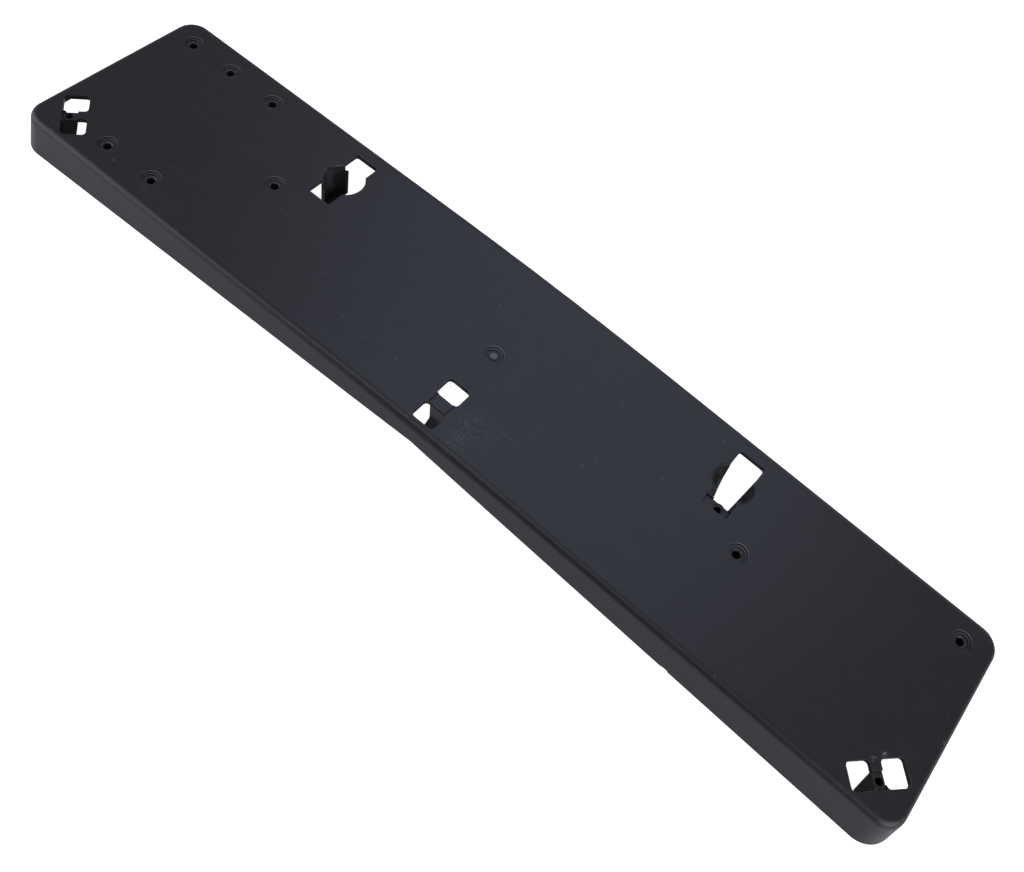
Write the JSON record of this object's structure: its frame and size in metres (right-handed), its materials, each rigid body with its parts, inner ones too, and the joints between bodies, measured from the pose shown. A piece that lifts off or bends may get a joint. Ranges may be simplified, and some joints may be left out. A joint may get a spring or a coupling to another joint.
{
  "type": "number plate holder",
  "caption": "Bowed moulded plastic holder for a long car number plate, with flared side walls, keyhole slots, paired windows and blind screw holes.",
  "frame": {"origin": "centre of the underside of the bounding box, level with the rim at the four corners", "axes": "+X along the holder, +Y across it towards the screw row edge, +Z out of the face"},
  "size_m": [0.5274, 0.1186, 0.0269],
  "materials": {
    "black_plastic": "fine-grained satin black, lightly worn and dusty"
  },
  "bodies": {
    "root": {"plate_holder": "black_plastic"}
  },
  "joints": []
}
